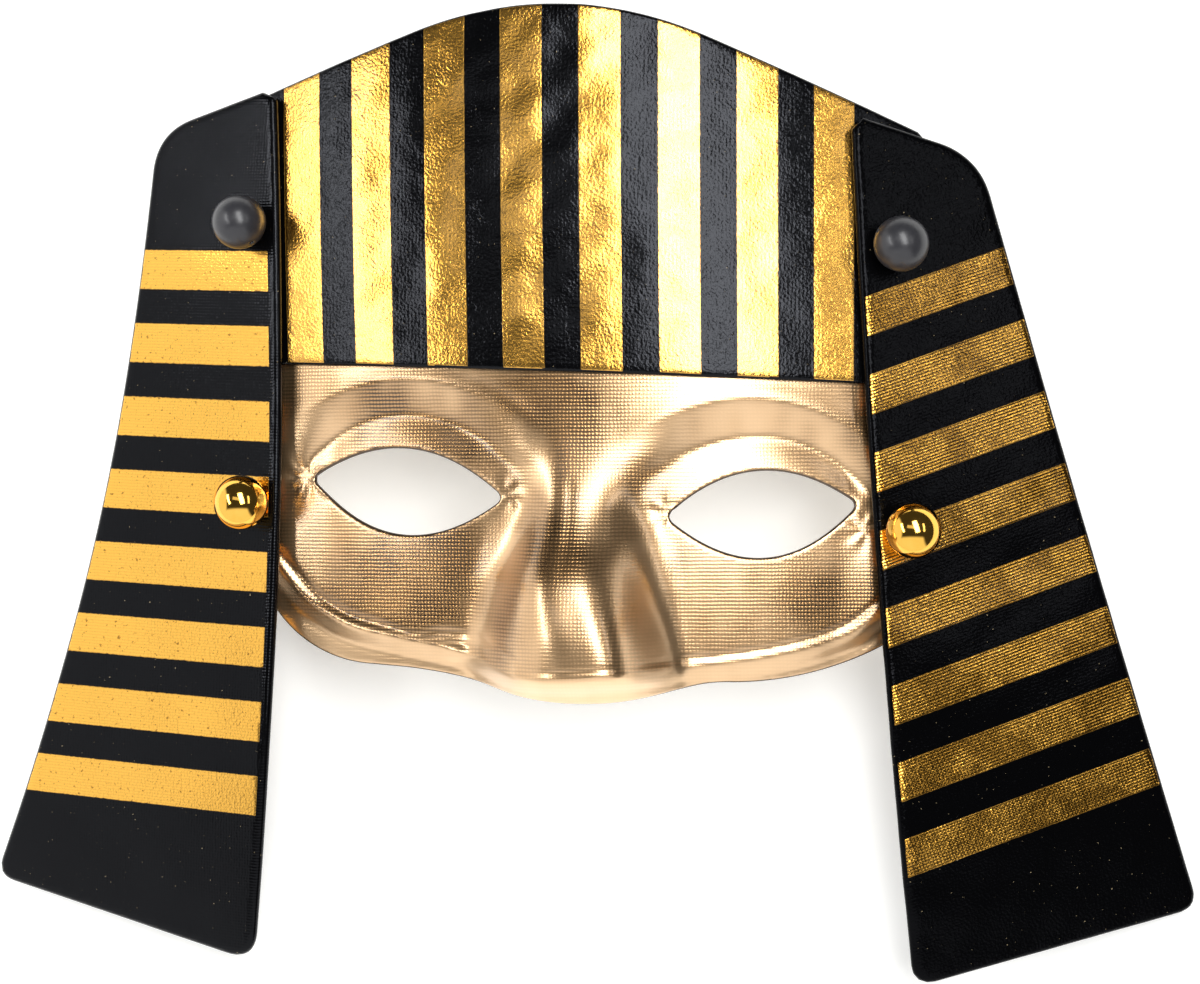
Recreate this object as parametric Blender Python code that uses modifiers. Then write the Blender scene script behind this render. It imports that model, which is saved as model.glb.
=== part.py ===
"""Fancy-dress mask in an ancient Egyptian style, lying face up on a flat surface.

A moulded half mask carries a striped forehead panel, two striped lappets and four round beads.
Every size below is in millimetres. x runs across the mask from the middle line of the face, y runs up
towards the top of the headdress, and z is the height above the surface that the mask lies on.
"""

from math import asin, cos, exp, pi, radians, sin, sqrt, tan

import bmesh
import bpy
import numpy as np
from mathutils import Matrix, Vector

MM = 0.001

# Where the middle line of the face stands, so that the origin is under the middle of the whole mask
FACE_LINE_X = 4.0
FACE_LINE_Y = 1.0

# The half mask's curve from side to side
CREST_HEIGHT = 50.0
FRONT_RADIUS = 211.0
FRONT_HALF_WIDTH = 84.0
TEMPLE_RADIUS = 25.0
WING_SLOPE = radians(65)
WING_LENGTH = 26.0
FACE_WALL = 2.0
FACE_BOTTOM, FACE_TOP = -62.0, 46.0
CHEEK_RECEDE, CHEEK_LENGTH = 4.0, 50.0

# The face's features, turned together because the cover was put on a little askew
FACE_TURN = radians(-3.6)
EYE_LEVEL = -2.0
EYE_CENTRE = 46.6
EYE_HALF_WIDTH = {"left": 26.4, "right": 24.6}
EYE_UPPER_BOW, EYE_LOWER_BOW = -10.2, -12.2
EYE_CORNER_CUT = 2.0
EYE_SLANT = {"left": radians(2.4), "right": radians(7.4)}
# Up the face: the nose's crest and feet from side to side, and how tall it stands
NOSE_UP = (-46.0, -34.0, -22.0, -10.0, 0.0, 14.0, 24.0)
NOSE_CREST = (6.5, 3.0, -1.0, -2.4, -2.2, -2.0, -2.0)
NOSE_TALL = (19.6, 18.4, 14.4, 7.3, 2.9, 0.4, 0.0)
NOSE_LEFT = (-34.0, -30.0, -25.0, -19.5, -17.0, -15.0, -15.0)
NOSE_RIGHT = (37.5, 34.0, 29.5, 25.0, 19.0, 15.0, 15.0)
NOSE_UNDERSIDE, NOSE_UNDERSIDE_SHARE = 12.0, 0.6
# Each brow's edge, the crease under it, and how far the lid swells out again
BROW_EDGE_UP, BROW_EDGE_X, BROW_EDGE_REACH = 28.5, 45.0, 10.0
CREASE_UP, CREASE_X, CREASE_INNER_REACH, CREASE_OUTER_REACH = 19.0, 47.0, 8.6, 7.2
BROW_DEPTH, LID_RISE, LID_LENGTH = 4.4, 1.9, 4.0
TEMPLE_FADE_X, TEMPLE_FADE = 86.0, 20.0
# The features fade out just below the forehead panel's edge
FADE_UNDER_PANEL = 3.0

# The rim's groove along the lower edge: its level at the nose, and how it rises to the sides
RIM_LEVEL = -46.9
RIM_RISE, RIM_RISE_AT, RIM_RISE_POWER = 6.2, 48.0, 2.4
RIM_STEP, RIM_STEP_WIDTH = 1.8, 5.0

# The stiff sheets laid over the half mask, with the gap that touching pieces keep
GAP = 0.3
PANEL_THICKNESS = 2.0
PANEL_LIFT = PANEL_THICKNESS + GAP
PANEL_EDGE_Y, PANEL_EDGE_SLOPE = 30.4, -0.038
LEAN, LEAN_LENGTH = 5.2, 75.0
LAPPET_THICKNESS = 3.0
LAPPET_LIFT = PANEL_LIFT + LAPPET_THICKNESS + 2 * GAP
LAPPET_HINGE_X = 81.0
LAPPET_TILT = {"left": radians(20), "right": radians(21.4)}
DROOP, DROOP_FROM, DROOP_LENGTH = 8.0, -35.0, 85.0

# The flat sizes of the sheets before their outlines are cut: lowest and highest x and y
PANEL_BLANK = (-95.0, 95.0, 20.0, 140.0)
LAPPET_BLANK = (62.5, 177.5, -140.0, 120.0)
CUTTER_HEIGHT = 120.0

BEAD_DIAMETER = 14.2
BEAD_FLAT = 0.4

# Outlines seen from above. Each corner is x, y, how far back it is rounded, and the next edge's bow
FACE_OUTLINE = [
    (0.0, -57.8, 24, 0),
    (33.0, -49.4, 6, -4.3),
    (84.0, -36.5, 8, 0),
    (114.0, 2.5, 0, 0),
    (114.0, 38.0, 0, 0),
    (-114.0, 38.0, 0, 0),
    (-114.0, 7.7, 0, 0),
    (-74.0, -44.6, 16, 0),
    (-36.0, -47.0, 14, 0),
]
PANEL_OUTLINE = [
    (-93.0, 34.0, 0, 0),
    (88.0, 27.1, 0, 0),
    (88.0, 93.0, 0, 0),
    (-5.3, 134.3, 42, 0),
    (-93.0, 103.6, 0, 0),
]
# For the lappets x is measured outwards from the face's middle line
LAPPET_OUTLINES = {
    "left": [
        (83.2, 107.4, 1.5, 0),
        (118.6, 97.2, 11, -9.5),
        (169.8, -107.2, 6, 0),
        (90.8, -126.2, 8, 5.8),
    ],
    "right": [
        (69.7, 97.3, 1.5, 0),
        (102.6, 87.4, 11, -0.8),
        (161.6, -111.4, 6, 0),
        (85.8, -129.7, 6, 1.6),
    ],
}
# Bead centres seen from above, x outwards again
BEADS = {
    "left_upper_bead": ("left", 90.8, 70.7, "grey pearl"),
    "right_upper_bead": ("right", 82.2, 63.1, "grey pearl"),
    "left_lower_bead": ("left", 89.9, -2.9, "gold plate"),
    "right_lower_bead": ("right", 85.3, -10.0, "gold plate"),
}
SIDES = {"left": -1, "right": 1}

# Colour, roughness and metallic of each finish
FINISHES = {
    "gold lame": ((0.75, 0.48, 0.2, 1), 0.38, 0.9),
    "striped cloth": ((0.05, 0.045, 0.03, 1), 0.45, 0.2),
    "grey pearl": ((0.07, 0.07, 0.08, 1), 0.25, 0.0),
    "gold plate": ((0.95, 0.62, 0.18, 1), 0.08, 1.0),
}


def smooth_step(t):
    """0 below 0, 1 above 1, and an even S between."""
    t = min(max(t, 0.0), 1.0)
    return t * t * (3 - 2 * t)


def bell(t):
    """A rounded bump of height 1 that has died away by t = 2."""
    return exp(-t * t)


def front_height(x, lift=0.0):
    """Height of the front's arc, raised square to it by lift."""
    return CREST_HEIGHT - FRONT_RADIUS + sqrt((FRONT_RADIUS + lift) ** 2 - x * x)


def mask_section(along):
    """x and z at a distance along the side-to-side curve: front arc, tight temple arc, straight wing."""
    side = 1 if along >= 0 else -1
    reach = abs(along)
    front_angle = asin(FRONT_HALF_WIDTH / FRONT_RADIUS)
    front_length = FRONT_RADIUS * front_angle
    temple_length = TEMPLE_RADIUS * (WING_SLOPE - front_angle)
    angle = min(reach, front_length) / FRONT_RADIUS
    x = FRONT_RADIUS * sin(angle)
    z = front_height(x)
    if reach > front_length:
        angle += min(reach - front_length, temple_length) / TEMPLE_RADIUS
        x += TEMPLE_RADIUS * (sin(angle) - sin(front_angle))
        z -= TEMPLE_RADIUS * (cos(front_angle) - cos(angle))
    rest = max(reach - front_length - temple_length, 0)
    return side * (x + rest * cos(WING_SLOPE)), z - rest * sin(WING_SLOPE)


def lean(y):
    """How far the headdress drops back above the forehead line."""
    return LEAN * (max(y - PANEL_EDGE_Y, 0) / LEAN_LENGTH) ** 2


def rim_line(x):
    """y of the groove along the lower rim."""
    return RIM_LEVEL + RIM_RISE * (abs(x) / RIM_RISE_AT) ** RIM_RISE_POWER


def curve_through(xs, ys, x):
    """Smooth curve through hand-placed points."""
    slopes = np.gradient(ys, xs)
    x = min(max(x, xs[0]), xs[-1])
    i = min(max(int(np.searchsorted(xs, x)) - 1, 0), len(xs) - 2)
    width = xs[i + 1] - xs[i]
    t = (x - xs[i]) / width
    bend = slopes[i] * t * (1 - t) ** 2 - slopes[i + 1] * t * t * (1 - t)
    return ys[i] + (ys[i + 1] - ys[i]) * smooth_step(t) + width * bend


def nose(across, up, above_rim):
    """Nose height: a ridge along a slightly bent crest, round on top, with a sloping underside."""
    crest = curve_through(NOSE_UP, NOSE_CREST, up)
    foot = curve_through(NOSE_UP, NOSE_LEFT if across < crest else NOSE_RIGHT, up)
    share = min((across - crest) / (foot - crest), 1.0)
    bluntness = 1.3 + 0.3 * smooth_step((-12 - up) / 24)
    section = (0.5 * (1 + cos(pi * share**bluntness))) ** 1.25
    underside = 1 - NOSE_UNDERSIDE_SHARE * smooth_step((1.5 - above_rim) / NOSE_UNDERSIDE)
    return curve_through(NOSE_UP, NOSE_TALL, up) * section * underside


def brow_and_lid(aside, up):
    """Depth under each brow: a fall to the crease, and the lid and cheek below it."""
    edge = BROW_EDGE_UP - ((aside - BROW_EDGE_X) / BROW_EDGE_REACH) ** 2
    reach = CREASE_INNER_REACH if aside < CREASE_X else CREASE_OUTER_REACH
    crease = CREASE_UP - ((aside - CREASE_X) / reach) ** 2
    fall = min(max((edge - up) / max(edge - crease, 1.0), 0.0), 1.0)
    lid = 1 - exp(-max(crease - up, 0.0) / LID_LENGTH)
    depth = LID_RISE * lid * smooth_step((aside - 8) / 16) - BROW_DEPTH * fall**1.15
    below_brow, above_eye = min(max(8 - up, 0.0), 30.0), min(max(up, 0.0), 12.0)
    inner = smooth_step((aside - 3 - 0.3 * below_brow) / (17 + 0.7 * above_eye))
    return depth * inner * smooth_step((TEMPLE_FADE_X - aside) / TEMPLE_FADE)


def face_relief(x, y):
    """Height of the features over the plain curve of the mask."""
    across = x * cos(FACE_TURN) + (y - EYE_LEVEL) * sin(FACE_TURN)
    up = (y - EYE_LEVEL) * cos(FACE_TURN) - x * sin(FACE_TURN)
    above_rim = y - rim_line(x)
    height = nose(across, up, above_rim) + brow_and_lid(abs(across), up)
    height -= RIM_STEP * smooth_step((-above_rim - 0.5) / RIM_STEP_WIDTH)
    panel_edge = PANEL_EDGE_Y + PANEL_EDGE_SLOPE * x
    return height * smooth_step((panel_edge - y) / FADE_UNDER_PANEL)


def face_surface(across, up):
    """Point of the half mask, with both parameters from 0 to 1."""
    half_length = FRONT_RADIUS * asin(FRONT_HALF_WIDTH / FRONT_RADIUS)
    half_length += TEMPLE_RADIUS * (WING_SLOPE - half_length / FRONT_RADIUS) + WING_LENGTH
    x, z = mask_section((2 * across - 1) * half_length)
    y = FACE_BOTTOM + (FACE_TOP - FACE_BOTTOM) * up
    recede = CHEEK_RECEDE * (min(y, 0) / CHEEK_LENGTH) ** 2
    return x, y, z - recede - lean(y) + face_relief(x, y)


def on_blank(blank, across, up):
    """x and y of a point of a sheet's blank, with both parameters from 0 to 1."""
    low_x, high_x, low_y, high_y = blank
    return low_x + (high_x - low_x) * across, low_y + (high_y - low_y) * up


def panel_surface(across, up):
    """Point of the forehead panel, which lies on the half mask's front arc."""
    x, y = on_blank(PANEL_BLANK, across, up)
    return x, y, front_height(x, PANEL_LIFT) - lean(y)


def lappet_height(side, out, y):
    """Height of a lappet's face: tilted outwards from its hinge, leaning at the top, drooping below."""
    hinge = front_height(LAPPET_HINGE_X, LAPPET_LIFT)
    droop = DROOP * (max(DROOP_FROM - y, 0) / DROOP_LENGTH) ** 2
    return hinge - (out - LAPPET_HINGE_X) * tan(LAPPET_TILT[side]) - droop - lean(y)


def lappet_surface(side):
    """The surface function of one side's lappet."""

    def surface(across, up):
        out, y = on_blank(LAPPET_BLANK, across if side == "right" else 1 - across, up)
        return SIDES[side] * out, y, lappet_height(side, out, y)

    return surface


def rounded_outline(corners, arc_steps=8, edge_steps=10):
    """Closed outline through the corners, with bowed edges and corners rounded by a parabola."""
    points = [Vector(corner[:2]) for corner in corners]
    count = len(points)

    def on_edge(i, t):
        a, b = points[i], points[(i + 1) % count]
        normal = Vector((a.y - b.y, b.x - a.x)).normalized()
        return a.lerp(b, t) + normal * (4 * corners[i][3] * t * (1 - t))

    outline = []
    for i, point in enumerate(points):
        cut = corners[i][2]
        before, after = points[i - 1], points[(i + 1) % count]
        start = on_edge((i - 1) % count, 1 - cut / (point - before).length)
        end = on_edge(i, cut / (after - point).length)
        steps = arc_steps if cut else 0
        for k in range(steps + 1):
            t = k / steps if steps else 0
            outline.append(start * (1 - t) ** 2 + point * (2 * t * (1 - t)) + end * t * t)
        inner = edge_steps if corners[i][3] else 1
        first = cut / (after - point).length
        last = 1 - corners[(i + 1) % count][2] / (after - point).length
        outline += [on_edge(i, first + (last - first) * k / inner) for k in range(1, inner)]
    return outline


def eye_outline(side):
    """One eye hole: two arcs that meet in points, turned with the face."""
    half = EYE_HALF_WIDTH[side]
    arcs = [(-half, 0, EYE_CORNER_CUT, EYE_LOWER_BOW), (half, 0, EYE_CORNER_CUT, EYE_UPPER_BOW)]
    slant = Matrix.Rotation(SIDES[side] * EYE_SLANT[side], 2)
    turn = Matrix.Rotation(FACE_TURN, 2)
    centre = Vector((SIDES[side] * EYE_CENTRE, 0))
    outline = rounded_outline(arcs, edge_steps=16)
    return [turn @ (slant @ point + centre) + Vector((0, EYE_LEVEL)) for point in outline]


def new_collection(name):
    collection = bpy.data.collections.new(name)
    bpy.context.scene.collection.children.link(collection)
    return collection


def move_to(obj, collection):
    for old in obj.users_collection:
        old.objects.unlink(obj)
    collection.objects.link(obj)


def finish_material(name):
    """The named finish as a Principled material, made once."""
    material = bpy.data.materials.get(name)
    if material is None:
        material = bpy.data.materials.new(name)
        material.use_nodes = True
        shader = material.node_tree.nodes["Principled BSDF"]
        colour, roughness, metallic = FINISHES[name]
        shader.inputs["Base Color"].default_value = colour
        shader.inputs["Roughness"].default_value = roughness
        shader.inputs["Metallic"].default_value = metallic
    return material


def outline_cutter(name, outline, cutters):
    """A tall prism standing on z = 0 over the outline."""
    curve = bpy.data.curves.new(name, "CURVE")
    curve.dimensions = "2D"
    curve.fill_mode = "BOTH"
    curve.extrude = CUTTER_HEIGHT / 2 * MM
    spline = curve.splines.new("POLY")
    spline.points.add(len(outline) - 1)
    for point, place in zip(spline.points, outline):
        point.co = (place.x * MM, place.y * MM, 0, 1)
    spline.use_cyclic_u = True
    flat = bpy.data.objects.new(name + "_curve", curve)
    bpy.context.scene.collection.objects.link(flat)
    flat.location = Vector((FACE_LINE_X, FACE_LINE_Y, CUTTER_HEIGHT / 2)) * MM
    bpy.context.view_layer.update()
    evaluated = flat.evaluated_get(bpy.context.evaluated_depsgraph_get())
    mesh = bpy.data.meshes.new_from_object(evaluated)
    solid = bmesh.new()
    solid.from_mesh(mesh)
    bmesh.ops.remove_doubles(solid, verts=solid.verts, dist=0.01 * MM)
    solid.to_mesh(mesh)
    solid.free()
    cutter = bpy.data.objects.new(name, mesh)
    cutter.matrix_world = flat.matrix_world.copy()
    cutter.hide_render = True
    cutter.display_type = "WIRE"
    cutters.objects.link(cutter)
    bpy.data.objects.remove(flat)
    return cutter


def trim(obj, cutter, operation):
    modifier = obj.modifiers.new(cutter.name, "BOOLEAN")
    modifier.operation = operation
    modifier.solver = "EXACT"
    modifier.object = cutter


def bent_sheet(name, surface, steps, thickness, finish, parts):
    """A sheet that follows a surface of two parameters, thickened away from its face."""
    bpy.ops.mesh.primitive_grid_add(x_subdivisions=steps[0], y_subdivisions=steps[1], size=1)
    sheet = bpy.context.object
    sheet.name = name
    move_to(sheet, parts)
    for vertex in sheet.data.vertices:
        place = surface(vertex.co.x + 0.5, vertex.co.y + 0.5)
        vertex.co = Vector(place) * MM
    sheet.location = (FACE_LINE_X * MM, FACE_LINE_Y * MM, 0)
    wall = sheet.modifiers.new("wall", "SOLIDIFY")
    wall.thickness = thickness * MM
    wall.offset = -1
    wall.use_even_offset = True
    sheet.data.materials.append(finish_material(finish))
    sheet.data.shade_smooth()
    return sheet


def half_mask(parts, cutters):
    """Moulded half mask covered in gold cloth, with its two eye holes."""
    mask = bent_sheet("face_mask", face_surface, (60, 28), FACE_WALL, "gold lame", parts)
    trim(mask, outline_cutter("face_outline", rounded_outline(FACE_OUTLINE), cutters), "INTERSECT")
    for side in SIDES:
        hole = outline_cutter(side + "_eye_hole", eye_outline(side), cutters)
        trim(mask, hole, "DIFFERENCE")


def forehead_panel(parts, cutters):
    """Arched panel over the top of the half mask."""
    panel = bent_sheet("forehead_panel", panel_surface, (22, 7), PANEL_THICKNESS, "striped cloth", parts)
    trim(panel, outline_cutter("panel_outline", rounded_outline(PANEL_OUTLINE), cutters), "INTERSECT")


def lappet(side, parts, cutters):
    """Stiff side flap that hangs from the forehead panel's end."""
    name = side + "_lappet"
    flap = bent_sheet(name, lappet_surface(side), (4, 22), LAPPET_THICKNESS, "striped cloth", parts)
    corners = [(SIDES[side] * x, y, cut, bow) for x, y, cut, bow in LAPPET_OUTLINES[side]]
    if side == "left":
        corners = [(x, y, cut, -bow) for x, y, cut, bow in corners]
    trim(flap, outline_cutter(name + "_outline", rounded_outline(corners), cutters), "INTERSECT")


def bead(name, parts):
    """Round bead on a lappet, with a small flat where it is sewn down."""
    side, out, y, finish = BEADS[name]
    radius = BEAD_DIAMETER / 2 * MM
    ball = bmesh.new()
    bmesh.ops.create_uvsphere(ball, u_segments=16, v_segments=10, radius=radius)
    cut = bmesh.ops.bisect_plane(
        ball,
        geom=ball.verts[:] + ball.edges[:] + ball.faces[:],
        plane_co=(0, 0, BEAD_FLAT * MM - radius),
        plane_no=(0, 0, -1),
        clear_outer=True,
    )
    edges = [part for part in cut["geom_cut"] if isinstance(part, bmesh.types.BMEdge)]
    bmesh.ops.contextual_create(ball, geom=edges)
    mesh = bpy.data.meshes.new(name)
    ball.to_mesh(mesh)
    ball.free()
    mesh.shade_smooth()
    mesh.set_sharp_from_angle(angle=radians(40))
    obj = bpy.data.objects.new(name, mesh)
    obj.data.materials.append(finish_material(finish))
    parts.objects.link(obj)

    slope_y = (lappet_height(side, out, y + 1) - lappet_height(side, out, y - 1)) / 2
    normal = Vector((SIDES[side] * tan(LAPPET_TILT[side]), -slope_y, 1)).normalized()
    foot = Vector((SIDES[side] * out, y, 0)) - normal * (BEAD_DIAMETER / 2)
    foot.z = lappet_height(side, SIDES[side] * foot.x, foot.y) + GAP
    centre = foot + normal * (BEAD_DIAMETER / 2 - BEAD_FLAT)
    obj.location = (centre + Vector((FACE_LINE_X, FACE_LINE_Y, 0))) * MM
    obj.rotation_euler = normal.to_track_quat("Z", "Y").to_euler()


def main():
    for obj in list(bpy.data.objects):
        bpy.data.objects.remove(obj)
    parts = new_collection("egyptian_mummy_mask")
    cutters = new_collection("cutters")
    half_mask(parts, cutters)
    forehead_panel(parts, cutters)
    for side in SIDES:
        lappet(side, parts, cutters)
    for name in BEADS:
        bead(name, parts)


main()
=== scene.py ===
# Fancy-dress mask in an ancient Egyptian style: the cloth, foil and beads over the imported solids
from math import asin, cos, exp, pi, radians, sin, tan

import bpy
import numpy as np
from mathutils import Matrix, Vector


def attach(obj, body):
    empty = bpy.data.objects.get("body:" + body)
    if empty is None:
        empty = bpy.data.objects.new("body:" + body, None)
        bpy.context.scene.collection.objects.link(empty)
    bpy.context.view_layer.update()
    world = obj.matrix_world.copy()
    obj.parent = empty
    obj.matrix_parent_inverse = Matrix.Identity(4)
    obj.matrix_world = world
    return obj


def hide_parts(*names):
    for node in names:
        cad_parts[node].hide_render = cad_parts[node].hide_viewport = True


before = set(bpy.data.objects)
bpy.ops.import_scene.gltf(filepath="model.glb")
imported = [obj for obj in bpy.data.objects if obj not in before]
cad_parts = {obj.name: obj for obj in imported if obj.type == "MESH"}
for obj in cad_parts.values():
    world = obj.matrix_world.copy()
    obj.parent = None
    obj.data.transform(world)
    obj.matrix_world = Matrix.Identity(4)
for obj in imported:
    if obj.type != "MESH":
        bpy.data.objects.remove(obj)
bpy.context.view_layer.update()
mm = 0.001  # all lengths below are in mm unless a comment says otherwise
faceLine = np.array([4.0, 1.0, 0.0])  # the face's middle line, seen from the part's origin, in mm
print("frame loaded:", sorted(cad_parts))


# Small numpy helpers

def smoothStep(t):
    t = np.clip(t, 0.0, 1.0)
    return t * t * (3 - 2 * t)


def bell(t):
    return np.exp(-t * t)


def softPositive(t):
    # Zero well below 0, t well above it, and rounded over a step of about 1 between them
    return np.logaddexp(0, t)


def curveThrough(xs, ys, x):
    # Cubic pieces through given points, each with the slope between its two neighbours
    xs, ys = np.array(xs, float), np.array(ys, float)
    slopes = np.gradient(ys, xs)
    x = np.clip(x, xs[0], xs[-1])
    i = np.clip(np.searchsorted(xs, x) - 1, 0, len(xs) - 2)
    width = xs[i + 1] - xs[i]
    t = (x - xs[i]) / width
    rise = t * t * (3 - 2 * t)
    return (
        ys[i] * (1 - rise) + ys[i + 1] * rise
        + width * (slopes[i] * t * (1 - t) ** 2 - slopes[i + 1] * t * t * (1 - t))
    )


def waver(x, y, wavelength, seed, count=6):
    # Soft unevenness between about -1 and 1: a sum of sine waves in seeded directions and lengths
    draw = np.random.default_rng(seed)
    total = 0
    for angle, length, phase in zip(
        draw.uniform(0, 2 * pi, count), draw.uniform(0.7, 1.5, count), draw.uniform(0, 2 * pi, count)
    ):
        along = (x * cos(angle) + y * sin(angle)) * 2 * pi / (wavelength * length)
        total = total + np.sin(along + phase)
    return total / count ** 0.5 / 1.4


# Outlines seen from above, in mm. Each corner is x, y, how far back it is rounded, and the next edge's bow

def roundedOutline(corners, step=1.0):
    # Corners are parabolas and edges are shallow parabolas, as in the solids
    points = [np.array(corner[:2], float) for corner in corners]
    count = len(points)
    runs = []

    def onEdge(i, t):
        a, b = points[i], points[(i + 1) % count]
        length = np.hypot(*(b - a))
        normal = np.array([a[1] - b[1], b[0] - a[0]]) / length
        t = np.atleast_1d(t)[:, None]
        return a * (1 - t) + b * t + normal * (4 * corners[i][3] * t * (1 - t))

    for i in range(count):
        cut = corners[i][2]
        before = np.hypot(*(points[i] - points[i - 1]))
        after = np.hypot(*(points[(i + 1) % count] - points[i]))
        start, end = onEdge((i - 1) % count, 1 - cut / before), onEdge(i, cut / after)
        t = np.linspace(0, 1, 2 + int(2 * cut / step))[:, None]
        if cut:
            runs.append(start * (1 - t) ** 2 + points[i] * (2 * t * (1 - t)) + end * t * t)
        else:
            runs.append(points[i][None, :])
        first, last = cut / after, 1 - corners[(i + 1) % count][2] / after
        runs.append(onEdge(i, np.linspace(first, last, 2 + int(after / step))[1:-1]))
    return np.concatenate(runs)


def toEdge(points, loops):
    # Signed distance to the nearest edge, positive on the cloth, and the nearest point itself
    starts = np.concatenate(loops)
    ends = np.concatenate([np.roll(loop, -1, 0) for loop in loops])
    run = ends - starts
    square = np.maximum((run ** 2).sum(1), 1e-12)
    distances, nearests = [], []
    for part in np.array_split(points, max(1, len(points) // 500)):
        away = part[:, None, :] - starts
        t = np.clip((away * run).sum(2) / square, 0, 1)[:, :, None]
        gap = away - run * t
        far = (gap ** 2).sum(2)
        best = far.argmin(1)
        rows = np.arange(len(part))
        px, py = part[:, :1], part[:, 1:]
        crosses = (starts[:, 1] > py) != (ends[:, 1] > py)
        climb = np.where(run[:, 1] == 0, 1e-12, run[:, 1])
        crosses &= px < starts[:, 0] + run[:, 0] * (py - starts[:, 1]) / climb
        side = np.where(crosses.sum(1) % 2 == 1, 1.0, -1.0)
        distances.append(np.sqrt(far[rows, best]) * side)
        nearests.append(part - gap[rows, best])
    return np.concatenate(distances), np.concatenate(nearests)


# A stiff sheet of cloth over its backing, with soft round edges
edgeAngles = (60, 30, 0, -30, -60)  # the rows of points round an edge, in degrees above its middle


def meshFrom(name, points, faces, slots, layers, fields):
    # Quads over whole arrays of points, with UV layers and point values by name
    mesh = bpy.data.meshes.new(name)
    mesh.vertices.add(len(points))
    mesh.vertices.foreach_set("co", np.ascontiguousarray(points, np.float32).ravel())
    mesh.loops.add(faces.size)
    mesh.loops.foreach_set("vertex_index", faces.astype(np.int32).ravel())
    mesh.polygons.add(len(faces))
    mesh.polygons.foreach_set("loop_start", np.arange(0, faces.size, 4, dtype=np.int32))
    mesh.polygons.foreach_set("material_index", slots.astype(np.int32))
    mesh.update(calc_edges=True)
    for layer, values in layers.items():
        uv = mesh.uv_layers.new(name=layer)
        uv.data.foreach_set("uv", values[faces.ravel()].astype(np.float32).ravel())
    for field, values in fields.items():
        mesh.attributes.new(field, "FLOAT", "POINT").data.foreach_set("value", values.astype(np.float32))
    mesh.shade_smooth()
    obj = bpy.data.objects.new(name, mesh)
    bpy.context.scene.collection.objects.link(obj)
    return obj


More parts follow.
